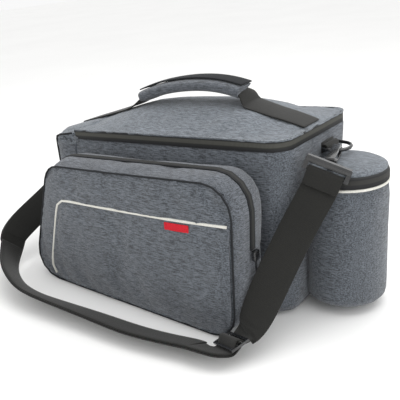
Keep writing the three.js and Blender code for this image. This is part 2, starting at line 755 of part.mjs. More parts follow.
// Handle webbing: flat on the lid, up a leg, curled through the grip, down a leg and flat to the tail
function buildHandle() {
  const lift = SEAM_GAP + WEBBING / 2;
  const shares = [-1, -0.5, 0, 0.5, 1];
  const onLid = (x) => shares.map((v) => {
    const y = HANDLE_OFFSET + (v * HANDLE_WIDTH) / 2;
    return V(x, y, lidSurface(x, y) + lift * 1.45);
  });
  const inGrip = (share, curl) => shares.map((v) => {
    const half = THREE.MathUtils.lerp(HANDLE_WIDTH / 2, GRIP_WIDTH / 2 - GRIP_CLOTH - 2, curl);
    const sag = (GRIP_HEIGHT / 2 - GRIP_CLOTH) * 1.05 * curl;
    return gripPoint(share).add(V(0, v * half, 0)).addScaledVector(gripUp(share), sag * (0.55 - v * v));
  });
  const mix = (a, b, t, rise) => a.map((p, i) => p.clone().lerp(b[i], t).add(V(0, 0, rise)));
  const legNose = gripX(0) - LEG_REACH;
  const legTail = gripX(1) + LEG_REACH * 0.35;
  const rows = [];
  const noseEnd = HANDLE_NOSE_MARGIN - halfLength;
  const tailEnd = halfLength - HANDLE_TAIL_MARGIN;
  for (let i = 0; i <= 4; i += 1) rows.push(onLid(THREE.MathUtils.lerp(noseEnd, legNose, i / 4)));
  rows.push(mix(onLid(legNose), inGrip(0, 0.5), 0.5, -1.5));
  for (let i = 0; i <= 10; i += 1) rows.push(inGrip(i / 10, i === 0 || i === 10 ? 0.8 : 1));
  rows.push(mix(inGrip(1, 0.6), onLid(legTail), 0.25, 1));
  rows.push(mix(inGrip(1, 0.2), onLid(legTail), 0.6, 0.8));
  for (let i = 0; i <= 5; i += 1) rows.push(onLid(THREE.MathUtils.lerp(legTail, tailEnd, i / 5)));
  piece('handle_webbing', ribbon(rows, WEBBING), cloth(OLIVE_WEB));

  const round = (share, inward) => {
    const up = gripUp(share);
    const [half, tall] = [GRIP_WIDTH / 2 - inward, GRIP_HEIGHT / 2 - inward];
    return Array.from({ length: 15 }, (_, k) => {
      const a = THREE.MathUtils.degToRad(GRIP_SLIT + (k / 14) * (360 - GRIP_SLIT - 55));
      const [c, n] = [Math.cos(a), Math.sin(a)];
      const y = half * Math.sign(c) * Math.abs(c) ** 0.66;
      return gripPoint(share).add(V(0, y, 0)).addScaledVector(up, tall * Math.sign(n) * Math.abs(n) ** 0.66);
    });
  };
  const sleeve = [];
  for (let i = 0; i <= 10; i += 1) {
    sleeve.push([...round(i / 10, 0), ...round(i / 10, GRIP_CLOTH).reverse()]);
  }
  piece('grip_sleeve', bar(sleeve), cloth(HEATHER));

  const over = GRIP_HEIGHT / 2 + SEAM_GAP + FLAP_CLOTH / 2;
  const flap = [];
  for (let i = 0; i <= 10; i += 1) {
    const share = i / 10;
    flap.push([-0.62, -0.3, 0, 0.3, 0.62].map((v) => gripPoint(share)
      .add(V(0, (v * GRIP_WIDTH) / 2, 0)).addScaledVector(gripUp(share), over + 0.6 - 1.4 * v * v)));
  }
  piece('grip_flap', ribbon(flap, FLAP_CLOTH), cloth(DARK));
}

// Point on the arc of a D-ring, by its angle from the side of the pocket
function ringPoint(bars, out, degrees) {
  const half = (RING_WIDTH - RING_WIRE) / 2;
  const a = THREE.MathUtils.degToRad(180 - degrees);
  return bars.clone().add(V(0, half * Math.cos(a), 0))
    .addScaledVector(out, RING_DEPTH - RING_WIRE - half + half * Math.sin(a));
}

// D-ring: a straight bar in the tab and an arc outwards
function buildRing(name, bars, out) {
  const side = V(0, 1, 0);
  const up = out.clone().cross(side);
  const half = RING_WIDTH / 2 - RING_WIRE / 2;
  const depth = RING_DEPTH - RING_WIRE;
  const line = [];
  for (let i = 1; i < 4; i += 1) line.push({ s: half - (i * half) / 2, o: 0 });
  const turn = RING_WIRE * 0.8;
  const corner = (hand) => [[1, 0], [0.35, 0.1], [0.1, 0.35], [0, 1]]
    .map(([s, o]) => ({ s: hand * (half - s * turn), o: o * turn }));
  line.push(...corner(-1));
  for (let i = 1; i < 8; i += 1) {
    const a = Math.PI * (1 - i / 8);
    line.push({ s: half * Math.cos(a), o: depth - half + half * Math.sin(a) });
  }
  line.push(...corner(1).reverse());
  const place = (q) => bars.clone().addScaledVector(side, q.s).addScaledVector(out, q.o);
  const points = line.map(place);
  const rings = points.map((p, i) => {
    const along = points[(i + 1) % points.length].clone().sub(points[(i + points.length - 1) % points.length]);
    const flat = along.clone().cross(up).normalize();
    return circle(p, RING_WIRE / 2, flat, up, 6);
  });
  piece(name, skin(rings, { closed: true }), plastic(DARK));
}

// Webbing tab sewn to an end wall, folded round the bar of a ring
function buildTab(name, bars, wallX) {
  const radius = RING_WIRE / 2 + SEAM_GAP;
  const wrap = new THREE.CylinderGeometry(radius + TAB_CLOTH, radius + TAB_CLOTH, TAB_WIDTH, 16);
  const hole = new THREE.CylinderGeometry(radius, radius, TAB_WIDTH + 2, 12);
  const face = wallX + Math.sign(wallX) * SEAM_GAP;
  const patch = new THREE.BoxGeometry(TAB_CLOTH, TAB_WIDTH, TAB_HEIGHT);
  patch.translate(face + Math.sign(wallX) * (TAB_CLOTH / 2), bars.y, bars.z);
  wrap.translate(bars.x, bars.y, bars.z);
  hole.translate(bars.x, bars.y, bars.z);
  const whole = solid(wrap).add(solid(patch)).subtract(solid(hole));
  piece(name, fromSolid(whole), cloth(OLIVE_WEB));
}

// Strap loop and snap hook. "along" is the direction of the cross bar, "reach" that of the hook, "away" that
// of the strap, "catches" the point of the ring's wire and "flat" the direction across the ring
function buildHook(prefix, { along, reach, away, catches, flat, face }) {
  const h = reach.clone().normalize();
  const u = along.clone().addScaledVector(h, -along.dot(h)).normalize();
  const s = away.clone().addScaledVector(u, -away.dot(u)).normalize();
  const centre = catches.clone().addScaledVector(h, -HOOK_CATCH);
  const length = STRAP_WIDTH + 2 * HOOK_ARM + 2;
  const rod = (radius, size, y) => new THREE.CylinderGeometry(radius, radius, size, 10)
    .rotateZ(Math.PI / 2).translate(0, y, 0);
  const arm = (sign) => new THREE.BoxGeometry(HOOK_ARM, LOOP_REACH + 4, 7)
    .translate((sign * (length - HOOK_ARM)) / 2, LOOP_REACH / 2, 0);
  const loop = solid(rod(HOOK_BAR / 2, length - 2, 0)).add(solid(rod(LOOP_ROD / 2, length - 2, LOOP_REACH)))
    .add(solid(arm(-1))).add(solid(arm(1)));
  const loopFrame = new THREE.Matrix4().makeBasis(u, s, u.clone().cross(s)).setPosition(centre);
  piece(`${prefix}_strap_loop`, fromSolid(loop).applyMatrix4(loopFrame), plastic(DARK));

  const foot = HOOK_BAR / 2 + SEAM_GAP;
  const plate = (half, from, to, wide) => {
    const shape = [new THREE.Vector2(from, -half)];
    for (let i = 6; i >= 0; i -= 1) {
      const a = (Math.PI * i) / 6;
      shape.push(new THREE.Vector2(to - half + half * Math.sin(a), half * Math.cos(a)));
    }
    shape.push(new THREE.Vector2(from, half));
    const extrude = { depth: wide, bevelEnabled: false };
    return solid(new THREE.ExtrudeGeometry(new THREE.Shape(shape), extrude).translate(0, 0, -wide / 2));
  };
  const inner = HOOK_GAUGE / 2 - HOOK_LIMB;
  const collar = new THREE.BoxGeometry(7, 7, HOOK_WIDE + 5).translate(foot + 3.5, 0, 0);
  const hook = plate(HOOK_GAUGE / 2, foot, foot + HOOK_LENGTH, HOOK_WIDE).add(solid(collar))
    .subtract(plate(inner, foot + HOOK_LENGTH * 0.4, foot + HOOK_LENGTH - HOOK_LIMB, HOOK_WIDE + 8));
  const n = flat.clone().addScaledVector(h, -flat.dot(h)).normalize();
  const hookFrame = new THREE.Matrix4().makeBasis(h, n, h.clone().cross(n)).setPosition(centre);
  piece(`${prefix}_snap_hook`, fromSolid(hook).applyMatrix4(hookFrame), plastic(DARK));
  const out = face.clone().addScaledVector(u, -face.dot(u)).addScaledVector(s, -face.dot(s)).normalize();
  return { rod: centre.clone().addScaledVector(s, LOOP_REACH), away: s, w: u.clone().negate(), face: out };
}

// Shoulder strap: x as a share of half the length, distance beyond the side as a share of the pocket depth,
// height of the lower edge as a share of the tail height, and the outer edge's turn and lean in degrees;
// a held row keeps its width direction where the strap runs askew
const STRAP_DROP = [
  { x: 1.08, out: -0.05, up: 0.538, turn: -165, lean: 18 },
  { x: 1.02, out: 0.51, up: 0.31, turn: -160, lean: 19 },
  { x: 0.99, out: 0.91, up: 0.182, turn: -176, lean: 5 },
  { x: 0.965, out: 1.11, up: 0.085, turn: -194, lean: -12 },
];
const STRAP_GROUND = [
  { x: 0.84, out: 1.67, up: 0.006, turn: 136, lean: -22, held: true },
  { x: 0.777, out: 1.69, up: 0.002, turn: 114, lean: -26, held: true },
  { x: 0.7, out: 1.68, up: 0.002, turn: 96, lean: -24 },
  { x: 0.52, out: 1.8, up: 0.002, turn: 92, lean: -24 },
  { x: 0.3, out: 1.9, up: 0.002, turn: 91, lean: -24 },
  { x: -0.02, out: 1.95, up: 0.002, turn: 90, lean: -28 },
  { x: -0.4, out: 2.03, up: 0.002, turn: 90, lean: -34 },
  { x: -0.59, out: 2.03, up: 0.002, turn: 82, lean: -40 },
  { x: -0.76, out: 1.91, up: 0.002, turn: 74, lean: -52 },
  { x: -0.91, out: 1.69, up: 0.003, turn: 68, lean: -60 },
  { x: -1.03, out: 1.42, up: 0.014, turn: 64, lean: -66 },
  { x: -1.11, out: 1.12, up: 0.06, turn: 62, lean: -62 },
  { x: -1.13, out: 0.86, up: 0.15, turn: 60, lean: -54 },
];

// Adjuster: passes of the running strap and of its sewn end; dx in bar pitches, dz in passes under a bar
const RUNNING_PASS = [
  { dx: 1.3, dz: -1.15 },
  { dx: 0.8, dz: -1.15 },
  { dx: 0.3, dz: 1.85 },
  { dx: 0, dz: 2.1 },
  { dx: -0.3, dz: 1.8 },
  { dx: -0.8, dz: -1.15 },
  { dx: -1.3, dz: -1.15 },
];
const SEWN_PASS = [
  { dx: -0.8, dz: -2.3 },
  { dx: -0.1, dz: -1.1 },
  { dx: 0.2, dz: -0.9 },
  { dx: 0.3, dz: -0.4 },
  { dx: 0.3, dz: 0.4 },
  { dx: 0.2, dz: 0.9 },
  { dx: -0.05, dz: 1.02 },
];

const sideY = -(halfWidth + SIDE_BULGE);
const layer = WEBBING + SEAM_GAP;
const LAYERS_APART = 1.12;

function strapStation(row) {
  const [turn, lean] = [THREE.MathUtils.degToRad(row.turn), THREE.MathUtils.degToRad(row.lean)];
  const low = (Math.abs(Math.sin(lean)) * STRAP_WIDTH) / 2 + LAYERS_APART * layer + WEBBING / 2 + 3 * SEAM_GAP;
  return {
    p: V(row.x * halfLength, sideY - row.out * POCKET_DEPTH, low + row.up * TAIL_HEIGHT),
    w: V(Math.cos(turn) * Math.cos(lean), Math.sin(turn) * Math.cos(lean), Math.sin(lean)),
    held: row.held,
  };
}

// Stations of webbing folded round the rod of a strap loop, starting on the side of "face"
function foldStations({ rod, w, away }, face) {
  const r = LOOP_ROD / 2 + SEAM_GAP + WEBBING / 2;
  return Array.from({ length: 7 }, (_, i) => {
    const a = (Math.PI * i) / 6;
    const p = rod.clone().addScaledVector(face, r * Math.cos(a)).addScaledVector(away, -r * Math.sin(a));
    return { p, w };
  });
}

function smoothStations(stations, perSpan) {
  const centre = new THREE.CatmullRomCurve3(stations.map((q) => q.p), false, 'catmullrom', 0.5);
  const width = new THREE.CatmullRomCurve3(stations.map((q) => q.w), false, 'catmullrom', 0.5);
  const n = (stations.length - 1) * perSpan;
  return Array.from({ length: n + 1 }, (_, i) => ({
    p: centre.getPoint(i / n), w: width.getPoint(i / n).normalize(), held: stations[Math.round(i / perSpan)].held,
  }));
}

// Two edges of the webbing at each station
function edges(stations) {
  return stations.map(({ p, w, held }, i) => {
    const along = stations[Math.min(i + 1, stations.length - 1)].p.clone().sub(stations[Math.max(i - 1, 0)].p);
    const across = w.clone().addScaledVector(along, held ? 0 : -w.dot(along) / along.lengthSq()).normalize();
    return [p.clone().addScaledVector(across, STRAP_WIDTH / 2), p.clone().addScaledVector(across, -STRAP_WIDTH / 2)];
  });
}

const buckleTurn = THREE.MathUtils.degToRad(BUCKLE_TURN);
const bucklePitch = THREE.MathUtils.degToRad(BUCKLE_PITCH);
const buckleRoll = THREE.MathUtils.degToRad(BUCKLE_ROLL);
const buckleBars = V(Math.cos(buckleTurn) * Math.cos(buckleRoll), Math.sin(buckleTurn) * Math.cos(buckleRoll),
  Math.sin(buckleRoll));
const downhill = V(Math.sin(buckleTurn) * Math.cos(bucklePitch), -Math.cos(buckleTurn) * Math.cos(bucklePitch),
  -Math.sin(bucklePitch));
const buckleOnward = downhill.addScaledVector(buckleBars, -downhill.dot(buckleBars)).normalize();
const buckleFace = buckleOnward.clone().cross(buckleBars);
const buckleHalf = BUCKLE_BAR * 1.5 + BUCKLE_SLOT;
const buckle = V(BUCKLE_PLACE * halfLength, sideY - BUCKLE_OUT * POCKET_DEPTH,
  buckleHalf * Math.sin(bucklePitch) + (STRAP_WIDTH / 2 + BUCKLE_END) * Math.sin(buckleRoll) + BUCKLE_THICK + 2 * layer + 4 * SEAM_GAP);

function threaded(rows) {
  const pass = BUCKLE_THICK / 2 + SEAM_GAP + WEBBING / 2;
  return rows.map(({ dx, dz }) => ({
    p: buckle.clone().addScaledVector(buckleOnward, -dx * (BUCKLE_BAR + BUCKLE_SLOT))
      .addScaledVector(buckleFace, dz * pass),
    w: buckleBars.clone().negate(),
    held: true,
  }));
}

function buildStrap(tail, nose) {
  const pass = threaded(RUNNING_PASS);
  const start = foldStations(tail, tail.face);
  const drop = smoothStations([
    start[start.length - 1],
    { p: tail.rod.clone().addScaledVector(tail.away, FOLD_LENGTH).addScaledVector(tail.face, -layer), w: tail.w },
    ...STRAP_DROP.map(strapStation), pass[0]], 3);
  const loose = { p: tail.rod.clone().addScaledVector(tail.away, FOLD_LENGTH).addScaledVector(tail.face, layer * 0.4),
    w: tail.w };
  const turn = foldStations(nose, nose.face.clone().negate());
  const last = turn.length - 1;
  const ground = smoothStations([pass[pass.length - 1], ...STRAP_GROUND.map(strapStation),
    { p: nose.rod.clone().addScaledVector(nose.away, FOLD_LENGTH).addScaledVector(nose.face, -layer * 0.5),
      w: nose.w }], 3);
  const arrive = { p: turn[0].p.clone().addScaledVector(nose.away, 2), w: nose.w };
  const whole = edges([loose, ...start, ...drop.slice(1, -1), ...pass, ...ground.slice(1), arrive, ...turn]);
  piece('shoulder_strap', ribbon(whole, WEBBING), cloth(OLIVE_WEB));

  const sewn = edges(threaded(SEWN_PASS).reverse());
  const before = 1 + start.length + (drop.length - 2) + pass.length;
  const under = shifted(whole, -LAYERS_APART * layer).slice(before - 1, before + ground.length - 1);
  const leave = { p: turn[last].p.clone().addScaledVector(nose.away, SEAM_GAP * 2), w: nose.w };
  const end = edges([{ p: leave.p.clone().addScaledVector(nose.away, 1), w: nose.w }, leave]);
  piece('strap_return', ribbon([...sewn, ...under, end[1]], WEBBING), cloth(OLIVE_WEB));

  const box = (x, y, z, at) => solid(new THREE.BoxGeometry(x, y, z).translate(0, at, 0));
  const slot = (side) => box(STRAP_WIDTH + 1.4, BUCKLE_SLOT, BUCKLE_THICK + 2, (side * (BUCKLE_BAR + BUCKLE_SLOT)) / 2);
  const plate = box(STRAP_WIDTH + 2 * BUCKLE_END, 2 * buckleHalf, BUCKLE_THICK, 0)
    .subtract(slot(-1)).subtract(slot(1));
  const placed = new THREE.Matrix4().makeBasis(buckleBars, buckleOnward.clone().negate(), buckleFace)
    .setPosition(buckle);
  piece('strap_adjuster', fromSolid(plate).applyMatrix4(placed), plastic(DARK));
}

buildBody();
buildLid();
buildMainZip();
buildNosePiping('nose_piping_near', -1);
buildNosePiping('nose_piping_far', 1);
buildGusset();
buildPocketFront();
buildPocketZip();
const bottleTop = buildBottlePocket();
buildHandle();

const ringOff = SEAM_GAP + TAB_CLOTH + RING_WIRE / 2 + SEAM_GAP;
const tailRing = V(halfLength + ringOff, RING_ASIDE, bottleTop + RING_LIFT);
const noseRing = V(-halfLength - ringOff, RING_ASIDE, NOSE_RING_SHARE * TAIL_HEIGHT);
const tailOut = V(1, 0, 0);
const noseOut = V(-Math.sin(NOSE_HANG), 0, -Math.cos(NOSE_HANG));
buildRing('tail_d_ring', tailRing, tailOut);
buildTab('tail_ring_tab', tailRing, halfLength);
buildRing('nose_d_ring', noseRing, noseOut);
buildTab('nose_ring_tab', noseRing, -halfLength);

const tailHook = buildHook('tail', {
  along: V(0.9, 0.263, -0.348),
  reach: V(-0.28, 0.96, 0),
  away: V(-0.27, -0.44, -0.86),
  catches: ringPoint(tailRing, tailOut, TAIL_CATCH),
  flat: V(0, 0, 1),
  face: V(0.5, -0.8, 0.3),
});
const noseHook = buildHook('nose', {
  along: V(-0.706, -0.279, 0.653),
  reach: V(0.244, 0.768, 0.593),
  away: V(-0.373, -0.685, -0.625),
  catches: ringPoint(noseRing, noseOut, NOSE_CATCH),
  flat: noseOut.clone().cross(V(0, 1, 0)),
  face: V(-1, 0.3, 0.5),
});
buildStrap(tailHook, noseHook);

export default bag;
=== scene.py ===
import math

import bmesh
import bpy
from mathutils import Matrix, Vector, kdtree, noise


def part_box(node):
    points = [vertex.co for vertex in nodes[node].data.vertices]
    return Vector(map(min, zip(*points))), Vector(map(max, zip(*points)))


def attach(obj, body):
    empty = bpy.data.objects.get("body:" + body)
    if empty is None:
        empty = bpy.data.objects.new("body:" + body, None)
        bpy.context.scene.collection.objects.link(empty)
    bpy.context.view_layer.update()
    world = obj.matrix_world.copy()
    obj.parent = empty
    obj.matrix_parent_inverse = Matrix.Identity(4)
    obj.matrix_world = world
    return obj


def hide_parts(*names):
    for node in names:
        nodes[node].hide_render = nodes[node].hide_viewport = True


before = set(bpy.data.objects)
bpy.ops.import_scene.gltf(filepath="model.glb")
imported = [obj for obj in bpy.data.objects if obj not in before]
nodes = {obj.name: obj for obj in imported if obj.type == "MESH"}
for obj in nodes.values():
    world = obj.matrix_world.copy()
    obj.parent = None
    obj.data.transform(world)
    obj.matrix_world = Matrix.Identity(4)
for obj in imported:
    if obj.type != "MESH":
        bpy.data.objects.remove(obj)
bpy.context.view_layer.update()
scene = bpy.context.scene
MM = 0.001

# Camera
CAM_AZIMUTH = 39.01
CAM_ELEVATION = 21.61
CAM_ROLL = -4.88
CAM_DISTANCE = 0.8038
CAM_TARGET = Vector((0.0125, 0.0, 0.08534))
CAM_LENS = 54.55

# Light
WORLD_LIGHT = 0.95
KEY_POWER = 9.0
FILL_POWER = 1.5
RIM_POWER = 3.0

# Sizes taken from the bag
HALF_LENGTH = 0.188
ZIP_TAIL = 0.200
ZIP_NOSE = 0.178
SKIN = 0.0016
WELD = 3e-5
QUAD_FACE_ANGLE = 0.7
QUAD_SHAPE_ANGLE = 3.1
EASE_OUT = 0.5
EASE_BACK = -0.52
EDGE_STEP = 0.002
SEAM_STEP = 0.003
FLOOR_EDGE = 0.004
CUP_FLOOR_EDGE = 0.011
SEAM_CORD = 0.0011
BACK_SEAM_CORD = 0.0016
STITCH = 0.0034
CUP_STITCH = 0.003
STITCH_ABOVE = 0.0035
STITCH_BELOW = -0.003
SIM_FRAMES = 20


def shade(text):
    """Linear colour of a hex shade."""
    out = []
    for i in (0, 2, 4):
        c = int(text[i:i + 2], 16) / 255
        out.append(c / 12.92 if c <= 0.04045 else ((c + 0.055) / 1.055) ** 2.4)
    return (*out, 1.0)


def zip_line(x):
    return ZIP_NOSE + (ZIP_TAIL - ZIP_NOSE) * (x + HALF_LENGTH) / (2 * HALF_LENGTH)


# Small tools for shader trees
class Tree:
    def __init__(self, tree):
        self.tree = tree

    def add(self, kind, **values):
        node = self.tree.nodes.new(kind)
        for key, value in values.items():
            setattr(node, key, value)
        return node

    def put(self, socket, value):
        if isinstance(value, bpy.types.NodeSocket):
            self.tree.links.new(value, socket)
        else:
            socket.default_value = value

    def math(self, operation, a, b=0.0, c=0.0):
        node = self.add("ShaderNodeMath", operation=operation)
        for i, value in enumerate((a, b, c)):
            self.put(node.inputs[i], value)
        return node.outputs[0]

    def coords(self, scale):
        where = self.add("ShaderNodeTexCoord").outputs["Object"]
        node = self.add("ShaderNodeMapping")
        self.put(node.inputs["Vector"], where)
        node.inputs["Scale"].default_value = scale
        return node.outputs[0]

    def noise(self, scale, detail=2.0, rough=0.5):
        node = self.add("ShaderNodeTexNoise")
        self.put(node.inputs["Vector"], self.coords(scale))
        node.inputs["Scale"].default_value = 1.0
        node.inputs["Detail"].default_value = detail
        node.inputs["Roughness"].default_value = rough
        return node.outputs["Fac"]

    def ramp(self, value, stops):
        node = self.add("ShaderNodeValToRGB")
        self.put(node.inputs[0], value)
        marks = node.color_ramp.elements
        while len(marks) < len(stops):
            marks.new(0.5)
        for mark, (at, colour) in zip(marks, stops):
            mark.position, mark.color = at, colour
        return node.outputs[0]

    def mix(self, share, a, b, blend="MIX"):
        node = self.add("ShaderNodeMix", data_type="RGBA", blend_type=blend)
        self.put(node.inputs["Factor"], share)
        self.put(node.inputs[6], a)
        self.put(node.inputs[7], b)
        return node.outputs[2]

    def bump(self, height, strength, distance):
        node = self.add("ShaderNodeBump")
        node.inputs["Strength"].default_value = strength
        node.inputs["Distance"].default_value = distance
        self.put(node.inputs["Height"], height)
        return node.outputs[0]


def group(name, inputs, outputs):
    tree = bpy.data.node_groups.new(name, "ShaderNodeTree")
    for title, kind, value in inputs:
        socket = tree.interface.new_socket(title, in_out="INPUT", socket_type=kind)
        socket.default_value = value
    for title, kind in outputs:
        tree.interface.new_socket(title, in_out="OUTPUT", socket_type=kind)
    tools = Tree(tree)
    return tools, tools.add("NodeGroupInput").outputs, tools.add("NodeGroupOutput").inputs


def heather_group():
    """Mottled two-yarn cloth: colour, roughness and weave normal."""
    t, ins, outs = group("HeatherCloth", [
        ("Light", "NodeSocketColor", shade("9aa1aa")), ("Dark", "NodeSocketColor", shade("565b62")),
    ], [("Color", "NodeSocketColor"), ("Roughness", "NodeSocketFloat"),
        ("Normal", "NodeSocketVector")])
    side = t.add("ShaderNodeSeparateXYZ")
    t.put(side.inputs[0], t.add("ShaderNodeTexCoord").outputs["Normal"])
    ends = t.ramp(t.math("ABSOLUTE", side.outputs[0]),
                  [(0.55, (0, 0, 0, 1)), (0.75, (1, 1, 1, 1))])
    lying = t.mix(ends, t.noise((110, 1100, 1100), 3.0, 0.6), t.noise((1100, 110, 1100), 3.0, 0.6))
    standing = t.noise((900, 900, 320), 2.0, 0.6)
    fine = t.noise((1700, 1700, 1700), 2.0, 0.6)
    short = t.math("MULTIPLY_ADD", standing, 0.2, t.math("MULTIPLY", fine, 0.18))
    yarns = t.math("MULTIPLY_ADD", lying, 0.62, short)
    mottle = t.ramp(yarns, [(0.4, (0, 0, 0, 1)), (0.5, (0.5, 0.5, 0.5, 1)), (0.59, (1, 1, 1, 1))])
    cloudy = t.ramp(t.noise((18, 18, 18), 2.0),
                    [(0.3, (0.93, 0.93, 0.93, 1)), (0.7, (1.05, 1.05, 1.05, 1))])
    colour = t.mix(mottle, ins["Dark"], ins["Light"])
    t.put(outs["Color"], t.mix(1.0, colour, cloudy, "MULTIPLY"))
    t.put(outs["Roughness"], t.math("MULTIPLY_ADD", yarns, 0.12, 0.82))
    where = t.add("ShaderNodeSeparateXYZ")
    t.put(where.inputs[0], t.coords((5200, 5200, 5200)))
    waves = [t.math("SINE", where.outputs[i]) for i in range(3)]
    weave = t.math("ADD", t.math("MULTIPLY", waves[0], waves[2]),
                   t.math("MULTIPLY", waves[1], waves[2]))
    weave = t.math("ADD", weave, t.math("MULTIPLY", waves[0], waves[1]))
    height = t.math("ADD", t.math("MULTIPLY", weave, 0.25), yarns)
    t.put(outs["Normal"], t.bump(height, 1.0, 0.00025))
    return t.tree


def ribbed_group():
    """Flat webbing: fine ribs, fuzz and slow wear."""
    t, ins, outs = group("Webbing", [
        ("Shade", "NodeSocketColor", shade("4b4b47")), ("Pitch", "NodeSocketFloat", 3100.0),
    ], [("Color", "NodeSocketColor"), ("Normal", "NodeSocketVector")])
    where = t.add("ShaderNodeSeparateXYZ")
    t.put(where.inputs[0], t.coords((1, 1, 1)))
    across = t.math("ADD", where.outputs[0], where.outputs[1])
    ribs = t.math("SINE", t.math("MULTIPLY", across, ins["Pitch"]))
    rows = t.math("SINE", t.math("MULTIPLY", where.outputs[2], ins["Pitch"]))
    fuzz = t.noise((900, 900, 900), 3.0, 0.6)
    lift = t.math("ADD", t.math("MULTIPLY", t.math("MULTIPLY", ribs, rows), 0.3), fuzz)
    tone = t.ramp(fuzz, [(0.3, (0.72, 0.72, 0.72, 1)), (0.72, (1.25, 1.25, 1.22, 1))])
    worn = t.ramp(t.noise((22, 22, 22), 2.0),
                  [(0.3, (0.92, 0.92, 0.92, 1)), (0.7, (1.08, 1.08, 1.08, 1))])
    t.put(outs["Color"], t.mix(1.0, t.mix(1.0, ins["Shade"], tone, "MULTIPLY"), worn, "MULTIPLY"))
    t.put(outs["Normal"], t.bump(lift, 0.7, 0.0003))
    return t.tree


HEATHER = heather_group()
RIBBED = ribbed_group()


def material(name, rough, colour=(1, 1, 1, 1)):
    made = bpy.data.materials.new(name)
    made.use_nodes = True
    tools = Tree(made.node_tree)
    surface = made.node_tree.nodes["Principled BSDF"]
    surface.inputs["Roughness"].default_value = rough
    surface.inputs["Base Color"].default_value = colour
    made.diffuse_color = colour
    return made, tools, surface


def heather(name, light, dark):
    made, t, surface = material(name, 0.88)
    node = t.add("ShaderNodeGroup", node_tree=HEATHER)
    node.inputs["Light"].default_value = shade(light)
    node.inputs["Dark"].default_value = shade(dark)
    for key, socket in (("Color", "Base Color"), ("Roughness", "Roughness"), ("Normal", "Normal")):
        t.put(surface.inputs[socket], node.outputs[key])
    surface.inputs["Sheen Weight"].default_value = 0.25
    surface.inputs["Sheen Roughness"].default_value = 0.6
    surface.inputs["Specular IOR Level"].default_value = 0.25
    return made


def webbing(name, tone):
    made, t, surface = material(name, 0.8)
    node = t.add("ShaderNodeGroup", node_tree=RIBBED)
    node.inputs["Shade"].default_value = shade(tone)
    t.put(surface.inputs["Base Color"], node.outputs["Color"])
    t.put(surface.inputs["Normal"], node.outputs["Normal"])
    surface.inputs["Specular IOR Level"].default_value = 0.3
    surface.inputs["Sheen Weight"].default_value = 0.15
    return made


def zip_cloth(name, coil_tone, seam_tone):
    """Coil zip: a ribbed lighter coil high on the band, dark tape below and above it."""
    made, t, surface = material(name, 0.7)
    across = t.add("ShaderNodeAttribute", attribute_name="across").outputs["Fac"]
    along = t.add("ShaderNodeAttribute", attribute_name="along").outputs["Fac"]
    band = t.ramp(across, [(0.0, shade("17181a")), (0.2, shade("1d1e20")),
                           (0.34, shade(seam_tone)), (0.44, shade(coil_tone)),
                           (0.72, shade(coil_tone)), (0.82, shade("1f2022")),
                           (1.0, shade("3a3b3c"))])
    coil = t.ramp(across, [(0.3, (0, 0, 0, 1)), (0.42, (1, 1, 1, 1)),
                           (0.74, (1, 1, 1, 1)), (0.84, (0, 0, 0, 1))])
    teeth = t.math("SINE", t.math("MULTIPLY", along, 3900.0))
    lift = t.math("MULTIPLY", teeth, coil)
    # Teeth painted lighter on their raised tops and darker between them: painted highlight and
    # painted shade of the coil's relief
    tone = t.ramp(t.math("MULTIPLY_ADD", lift, 0.5, 0.5),
                  [(0.2, (0.72, 0.72, 0.72, 1)), (0.8, (1.2, 1.2, 1.2, 1))])
    t.put(surface.inputs["Base Color"], t.mix(1.0, band, tone, "MULTIPLY"))
    grain = t.noise((1500, 1500, 1500), 2.0)
    height = t.math("ADD", t.math("MULTIPLY", lift, 0.6), grain)
    t.put(surface.inputs["Normal"], t.bump(height, 0.6, 0.0004))
    surface.inputs["Specular IOR Level"].default_value = 0.35
    return made


def piping(name):
    made, t, surface = material(name, 0.55)
    specks = t.noise((1800, 1800, 1800), 3.0, 0.7)
    slow = t.noise((60, 60, 60), 2.0)
    colour = t.ramp(specks, [(0.25, shade("b9bab4")), (0.6, shade("eceae2"))])
    grey = t.ramp(slow, [(0.3, (0.88, 0.88, 0.86, 1)), (0.7, (1, 1, 1, 1))])
    t.put(surface.inputs["Base Color"], t.mix(1.0, colour, grey, "MULTIPLY"))
    t.put(surface.inputs["Normal"], t.bump(specks, 0.4, 0.0002))
    return made


def plastic(name, tone, rough=0.26):
    made, t, surface = material(name, rough)
    wear = t.noise((420, 420, 420), 3.0, 0.6)
    broad = t.noise((40, 40, 40), 1.0)
    colour = t.ramp(broad, [(0.3, shade(tone)), (0.75, shade("202123"))])
    t.put(surface.inputs["Base Color"], colour)
    t.put(surface.inputs["Roughness"], t.math("MULTIPLY_ADD", wear, 0.16, rough - 0.07))
    t.put(surface.inputs["Normal"], t.bump(wear, 0.12, 0.0002))
    surface.inputs["Coat Weight"].default_value = 0.7
    surface.inputs["Coat Roughness"].default_value = 0.12
    return made


def woven(name, tone, deep, scale=1300):
    made, t, surface = material(name, 0.85)
    yarn = t.noise((scale, scale, scale), 2.0, 0.6)
    t.put(surface.inputs["Base Color"], t.ramp(yarn, [(0.3, shade(deep)), (0.7, shade(tone))]))
    t.put(surface.inputs["Normal"], t.bump(yarn, 0.6, 0.0003))
    surface.inputs["Specular IOR Level"].default_value = 0.25
    return made


CLOTH = heather("HeatherBody", "6b7179", "272b30")
